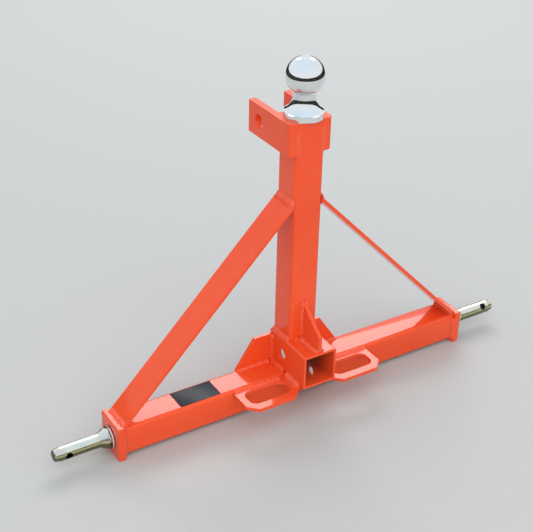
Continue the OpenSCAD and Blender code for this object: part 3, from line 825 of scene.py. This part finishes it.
class HITCH_OT_build_stage(bpy.types.Operator):
    """Build the floor, the lamps and the camera"""

    bl_idname = "hitch.build_stage"
    bl_label = "Build stage"

    def execute(self, context):
        scene = context.scene
        half = scene.hitch_sizes.floor_size
        f = Finish("studio_floor")
        speck = f.noise(2.0, 3.0)
        tone = f.blend(speck * 0.1, scene.hitch_colours.floor, (0.43, 0.42, 0.405))
        paper = f.surface(Base_Color=tone, Roughness=0.9)
        mesh = bpy.data.meshes.new("studio_floor")
        corners = [(-half, -half, 0), (half, -half, 0), (half, half, 0), (-half, half, 0)]
        mesh.from_pydata(corners, [], [(0, 1, 2, 3)])
        mesh.materials.append(paper)
        floor = bpy.data.objects.new("studio_floor", mesh)
        scene.collection.objects.link(floor)

        # A dark ring round the studio, which only mirrors see, gives polished metal its horizon
        f = Finish("studio_flag")
        patch = f.between(f.noise(2.2, 4.0, 0.6), 0.45, 0.7)
        f.surface(Base_Color=f.blend(patch, (0.01, 0.01, 0.01), (0.10, 0.11, 0.06)), Roughness=1.0)
        turn = np.radians(np.arange(0, 360, 5))
        ring = np.column_stack((FLAG_AWAY * np.cos(turn), FLAG_AWAY * np.sin(turn), 0 * turn))
        points = np.concatenate((ring, ring + (0.0, 0.0, FLAG_HIGH)))
        mesh = bpy.data.meshes.new("studio_flag")
        mesh.from_pydata(points.tolist(), [], ring_faces(2, len(turn))[:-2])
        mesh.materials.append(f.made)
        flag = bpy.data.objects.new("studio_flag", mesh)
        flag.visible_camera = flag.visible_diffuse = flag.visible_shadow = False
        scene.collection.objects.link(flag)

        air = Finish("studio_air", "worlds", "Generated")
        stops = ((0.0, (0.84, 0.86, 0.88)), (0.35, (0.86, 0.89, 0.93)), (1.0, (0.74, 0.88, 1.0)))
        colour = air.ramp(air.axis(air.place, "Z"), stops)
        sky = air.node("ShaderNodeBackground", inputs={"Color": colour, "Strength": 1.0})
        scene.world = air.end(sky, "ShaderNodeOutputWorld")

        # Mirrors see the back lamp, which the crossbar's top reflects, and don't see the key lamp
        for name, place, size, power, tint in (
            ("key_lamp", (-1.3, -3.0, 2.6), (5.0, 5.0), 122.0, (1.0, 0.96, 0.90)),
            ("back_lamp", (1.8, 2.7, 2.75), (3.4, 1.3), 80.0, (1.0, 1.0, 1.0)),
        ):
            light = bpy.data.lights.new(name, "AREA")
            light.shape = "RECTANGLE"
            light.size, light.size_y = size
            light.energy = power
            light.color = tint
            lamp = bpy.data.objects.new(name, light)
            lamp.location = place
            lamp.visible_glossy = name != "key_lamp"
            lamp.rotation_euler = (LAMP_AIM - Vector(place)).to_track_quat("-Z", "Y").to_euler()
            scene.collection.objects.link(lamp)

        lens = bpy.data.cameras.new("photo_view")
        lens.lens = CAMERA_LENS
        lens.sensor_width = 36.0
        camera = bpy.data.objects.new("photo_view", lens)
        axes = Matrix((CAMERA_RIGHT, CAMERA_UP, -CAMERA_FORWARD)).transposed()
        camera.matrix_world = Matrix.Translation(CAMERA_PLACE) @ axes.to_4x4()
        scene.collection.objects.link(camera)
        scene.camera = camera
        scene.view_settings.view_transform = "Standard"
        return {"FINISHED"}


class HITCH_PT_dresser(bpy.types.Panel):
    """Lists the steps that dress the hitch"""

    bl_label = "Receiver hitch"
    bl_idname = "HITCH_PT_dresser"
    bl_space_type = "VIEW_3D"
    bl_region_type = "UI"
    bl_category = "Hitch"

    def draw(self, context):
        for group in (context.scene.hitch_sizes, context.scene.hitch_colours):
            for name in group.bl_rna.properties.keys():
                if name not in ("rna_type", "name"):
                    self.layout.prop(group, name)
        for step in STEPS:
            self.layout.operator(step.bl_idname)


STEPS = (
    HITCH_OT_paint_frame, HITCH_OT_lay_beads, HITCH_OT_plate_fittings, HITCH_OT_stick_label,
    HITCH_OT_build_stage,
)
CLASSES = (HitchSizes, HitchColours, *STEPS, HITCH_PT_dresser)


def register():
    for made in CLASSES:
        bpy.utils.register_class(made)
    bpy.types.Scene.hitch_sizes = PointerProperty(type=HitchSizes)
    bpy.types.Scene.hitch_colours = PointerProperty(type=HitchColours)


def unregister():
    del bpy.types.Scene.hitch_colours
    del bpy.types.Scene.hitch_sizes
    for made in reversed(CLASSES):
        bpy.utils.unregister_class(made)


def main():
    register()
    bpy.ops.hitch.paint_frame()
    bpy.ops.hitch.lay_beads()
    bpy.ops.hitch.plate_fittings()
    bpy.ops.hitch.stick_label()
    bpy.ops.hitch.build_stage()
    bpy.context.view_layer.update()


if __name__ == "__main__":
    main()
